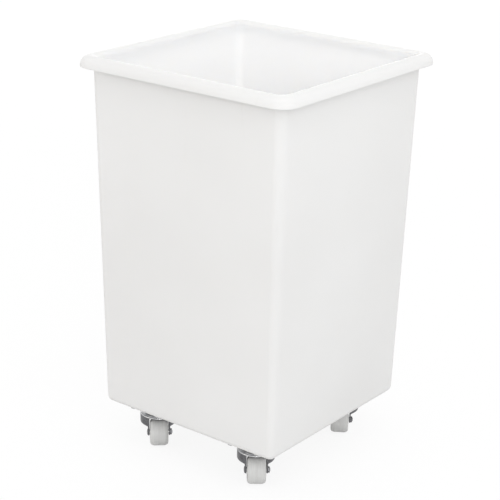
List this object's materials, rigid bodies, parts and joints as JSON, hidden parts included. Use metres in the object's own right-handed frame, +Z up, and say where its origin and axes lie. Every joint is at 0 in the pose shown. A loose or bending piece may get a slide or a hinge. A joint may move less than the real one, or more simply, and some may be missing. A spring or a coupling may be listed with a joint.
{
  "type": "mobile tub",
  "caption": "Square tapered plastic tub, open at the top, with a rolled rim to grip, standing on swivel castors so that it can be wheeled about.",
  "frame": {"origin": "on the floor under the middle of the tub", "axes": "+Z up; -Y is the wide face on the left of the picture and +X the face on its right"},
  "size_m": [0.47, 0.47, 0.7495],
  "materials": {
    "tub_plastic": "satin moulded",
    "zinc_plate": "bright zinc plated",
    "zinc_fork": "bright zinc plated",
    "zinc_pin": "bright zinc plated",
    "zinc_fastener": "bright zinc plated",
    "ball_steel": "polished",
    "wheel_plastic": "moulded"
  },
  "bodies": {
    "base": {"tub": "tub_plastic", "fixing_bolts": "zinc_fastener", "fixing_washers": "zinc_fastener", "fixing_nuts": "zinc_fastener", "front_left_plate": "zinc_plate", "front_left_kingpin": "zinc_pin", "front_left_upper_balls": "ball_steel", "front_left_lower_balls": "ball_steel", "front_left_lower_race": "zinc_plate", "front_right_plate": "zinc_plate", "front_right_kingpin": "zinc_pin", "front_right_upper_balls": "ball_steel", "front_right_lower_balls": "ball_steel", "front_right_lower_race": "zinc_plate", "rear_left_plate": "zinc_plate", "rear_left_kingpin": "zinc_pin", "rear_left_upper_balls": "ball_steel", "rear_left_lower_balls": "ball_steel", "rear_left_lower_race": "zinc_plate", "rear_right_plate": "zinc_plate", "rear_right_kingpin": "zinc_pin", "rear_right_upper_balls": "ball_steel", "rear_right_lower_balls": "ball_steel", "rear_right_lower_race": "zinc_plate"},
    "front_left_swivel": {"front_left_fork": "zinc_fork", "front_left_axle_bolt": "zinc_fastener", "front_left_axle_nut": "zinc_fastener", "front_left_axle_sleeve": "zinc_pin"},
    "front_left_roller": {"front_left_wheel": "wheel_plastic"},
    "front_right_swivel": {"front_right_fork": "zinc_fork", "front_right_axle_bolt": "zinc_fastener", "front_right_axle_nut": "zinc_fastener", "front_right_axle_sleeve": "zinc_pin"},
    "front_right_roller": {"front_right_wheel": "wheel_plastic"},
    "rear_left_swivel": {"rear_left_fork": "zinc_fork", "rear_left_axle_bolt": "zinc_fastener", "rear_left_axle_nut": "zinc_fastener", "rear_left_axle_sleeve": "zinc_pin"},
    "rear_left_roller": {"rear_left_wheel": "wheel_plastic"},
    "rear_right_swivel": {"rear_right_fork": "zinc_fork", "rear_right_axle_bolt": "zinc_fastener", "rear_right_axle_nut": "zinc_fastener", "rear_right_axle_sleeve": "zinc_pin"},
    "rear_right_roller": {"rear_right_wheel": "wheel_plastic"}
  },
  "joints": [
    {"name": "front_left_swivel_turn", "type": "hinge", "parent": "base", "child": "front_left_swivel", "pos_m": [-0.118, -0.136, 0.0775], "axis": [0, 0, 1], "continuous": true},
    {"name": "front_left_wheel_spin", "type": "hinge", "parent": "front_left_swivel", "child": "front_left_roller", "pos_m": [-0.10027, -0.15501, 0.026], "axis": [0.7314, 0.682, 0], "continuous": true},
    {"name": "front_right_swivel_turn", "type": "hinge", "parent": "base", "child": "front_right_swivel", "pos_m": [0.118, -0.136, 0.0775], "axis": [0, 0, 1], "continuous": true},
    {"name": "front_right_wheel_spin", "type": "hinge", "parent": "front_right_swivel", "child": "front_right_roller", "pos_m": [0.13471, -0.15592, 0.026], "axis": [0.766, 0.6428, 0], "continuous": true},
    {"name": "rear_left_swivel_turn", "type": "hinge", "parent": "base", "child": "rear_left_swivel", "pos_m": [-0.118, 0.136, 0.0775], "axis": [0, 0, 1], "continuous": true},
    {"name": "rear_left_wheel_spin", "type": "hinge", "parent": "rear_left_swivel", "child": "rear_left_roller", "pos_m": [-0.10199, 0.11551, 0.026], "axis": [0.788, 0.6157, 0], "continuous": true},
    {"name": "rear_right_swivel_turn", "type": "hinge", "parent": "base", "child": "rear_right_swivel", "pos_m": [0.118, 0.136, 0.0775], "axis": [0, 0, 1], "continuous": true},
    {"name": "rear_right_wheel_spin", "type": "hinge", "parent": "rear_right_swivel", "child": "rear_right_roller", "pos_m": [0.13216, 0.1142, 0.026], "axis": [0.8387, 0.5446, 0], "continuous": true}
  ]
}
